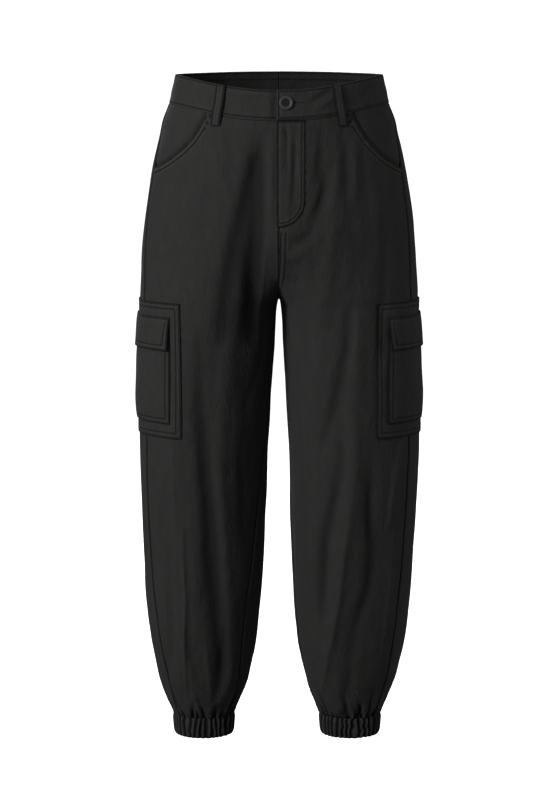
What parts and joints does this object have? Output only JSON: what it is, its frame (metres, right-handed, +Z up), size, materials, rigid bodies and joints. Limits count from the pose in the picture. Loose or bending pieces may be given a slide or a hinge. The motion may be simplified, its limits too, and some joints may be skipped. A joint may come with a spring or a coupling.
{
  "type": "cargo trousers with elasticated cuffs",
  "caption": "Hollow worn-shape cargo trousers: waistband with belt loops and button, fly lap, scoop hip pockets, flapped cargo pockets on the outer thighs, gathered cuffs.",
  "frame": {"origin": "centre of the waist opening, half way up the waistband at the sides, where the wearer's waist holds the trousers", "axes": "+Z up, the front faces -Y, +X towards the wearer's left"},
  "size_m": [0.4329, 0.2666, 1.0041],
  "materials": {
    "twill": "matt black cotton twill, lightly creased",
    "button_plastic": "black, satin"
  },
  "bodies": {
    "root": {"front_panel_right": "twill", "front_panel_left": "twill", "back_panel_right": "twill", "back_panel_left": "twill", "hip_pocket_facing_right": "twill", "hip_pocket_facing_left": "twill", "fly_lap": "twill", "waistband_right": "twill", "waistband_left": "twill", "belt_loop_front_right": "twill", "belt_loop_front_left": "twill", "belt_loop_back_right": "twill", "belt_loop_back_left": "twill", "belt_loop_centre_back": "twill", "cargo_base_right": "twill", "cargo_base_left": "twill", "cargo_pocket_right": "twill", "cargo_pocket_left": "twill", "cargo_flap_right": "twill", "cargo_flap_left": "twill", "cuff_right": "twill", "cuff_left": "twill", "button": "button_plastic"}
  },
  "joints": []
}
